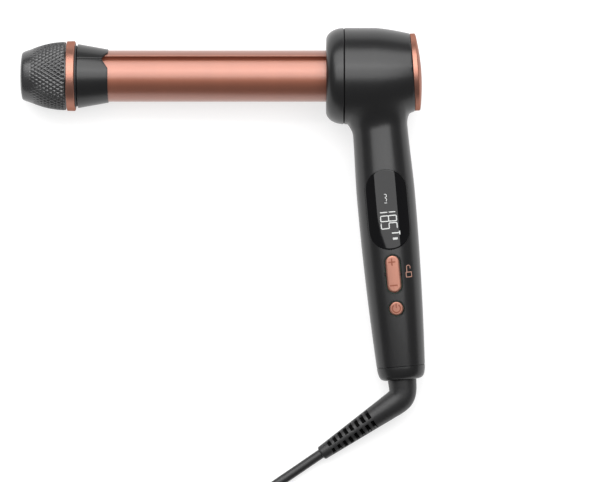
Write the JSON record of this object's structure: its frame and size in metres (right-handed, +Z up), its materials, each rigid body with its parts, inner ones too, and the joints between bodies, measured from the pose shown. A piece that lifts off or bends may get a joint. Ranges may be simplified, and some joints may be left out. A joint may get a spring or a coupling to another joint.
{
  "type": "automatic hair curler",
  "caption": "T-shaped handheld hair curler whose motor turns a grooved heated barrel; knurled cool tip, round head, display, rocker and power buttons, swivelling lead.",
  "frame": {"origin": "centre of the barrel's root on the head's front face", "axes": "+X along the barrel towards the head and up by 2.7 degrees, +Y away from the handle, +Z up from the surface the curler lies on, towards its controls"},
  "size_m": [0.2587, 0.378, 0.0616],
  "materials": {
    "anodised_copper": "anodised rose copper, satin",
    "copper_trim": "satin rose copper coating",
    "black_casing": "fine-grained satin black moulding",
    "knurled_black": "knurled dark moulding",
    "window_gloss": "gloss black lens",
    "nylon": "natural nylon",
    "dark_nylon": "dark heat-resistant moulding",
    "steel": "plain steel",
    "brass": "plain brass",
    "raw_aluminium": "extruded",
    "ceramic": "heater ceramic",
    "board": "circuit board",
    "components": "board components",
    "lead_colour": "insulated wire",
    "rubber": "soft black rubber",
    "pins": "nickel-plated brass"
  },
  "bodies": {
    "root": {"front_cover": "black_casing", "housing_front": "black_casing", "housing_back": "black_casing", "end_cap": "copper_trim", "bottom_cap": "black_casing", "bearing_frame": "raw_aluminium", "front_bush": "brass", "rear_bush": "brass", "drive_motor": "steel", "gearbox": "steel", "motor_screws": "steel", "brush_holder": "nylon", "brushes": "components", "brush_springs": "steel", "main_board": "board", "board_components": "components", "display_module": "dark_nylon", "display_window": "window_gloss", "tact_switches": "steel", "rocker_pin": "dark_nylon", "contact_block": "nylon", "contact_springs": "brass", "swivel_retainer": "nylon", "housing_screws": "steel", "board_screws": "steel", "inner_leads": "lead_colour"},
    "motor_output": {"motor_shaft": "steel", "pinion": "brass"},
    "barrel": {"barrel_tube": "anodised_copper", "slot_liner": "anodised_copper", "heat_spreader_upper": "raw_aluminium", "heat_spreader_lower": "raw_aluminium", "heater_stones": "ceramic", "electrode_strips": "brass", "thermistor": "ceramic", "thermal_fuse": "ceramic", "tip_core": "dark_nylon", "tip_collar": "black_casing", "tip_clip": "steel", "barrel_hub": "dark_nylon", "hub_screws": "steel", "barrel_gear": "nylon", "slip_ring_drum": "dark_nylon", "slip_rings": "brass", "retaining_clip": "steel"},
    "tip": {"trim_ring": "copper_trim", "tip_knob": "knurled_black", "tip_hub": "dark_nylon"},
    "rocker": {"rocker_button": "copper_trim"},
    "power": {"power_button": "copper_trim"},
    "lead": {"swivel_ferrule": "dark_nylon", "swivel_rings": "brass", "strain_relief": "rubber", "cord": "rubber", "cord_coil": "rubber", "cord_tie": "rubber", "plug_lead": "rubber", "plug_body": "rubber", "plug_pins": "pins"}
  },
  "joints": [
    {"name": "barrel_spin", "type": "hinge", "parent": "root", "child": "barrel", "pos_m": [0, 0, 0], "axis": [0.9989, 0, 0.0473], "continuous": true},
    {"name": "motor_spin", "type": "hinge", "parent": "root", "child": "motor_output", "pos_m": [0.00009, -0.02091, -0.00193], "axis": [0.9989, 0, 0.0473], "continuous": true},
    {"name": "tip_spin", "type": "hinge", "parent": "barrel", "child": "tip", "pos_m": [-0.15463, 0, -0.00732], "axis": [0.9989, 0, 0.0473], "continuous": true},
    {"name": "rocker_tilt", "type": "hinge", "parent": "root", "child": "rocker", "pos_m": [0.04145, -0.1238, 0.00358], "axis": [0.9947, 0.0868, 0.0552], "range_deg": [-3, 3], "stiffness_Nm_per_rad": 0.3},
    {"name": "power_press", "type": "slide", "parent": "root", "child": "power", "axis": [0.0471, 0.092, -0.9946], "range_m": [0, 0.0008], "stiffness_N_per_m": 600},
    {"name": "lead_swivel", "type": "hinge", "parent": "root", "child": "lead", "pos_m": [0.04809, -0.18808, -0.01513], "axis": [0.0914, -0.992, -0.0875], "continuous": true}
  ],
  "couplings": [
    {"joint": "motor_spin", "follows": "barrel_spin", "ratio": -2.75}
  ]
}
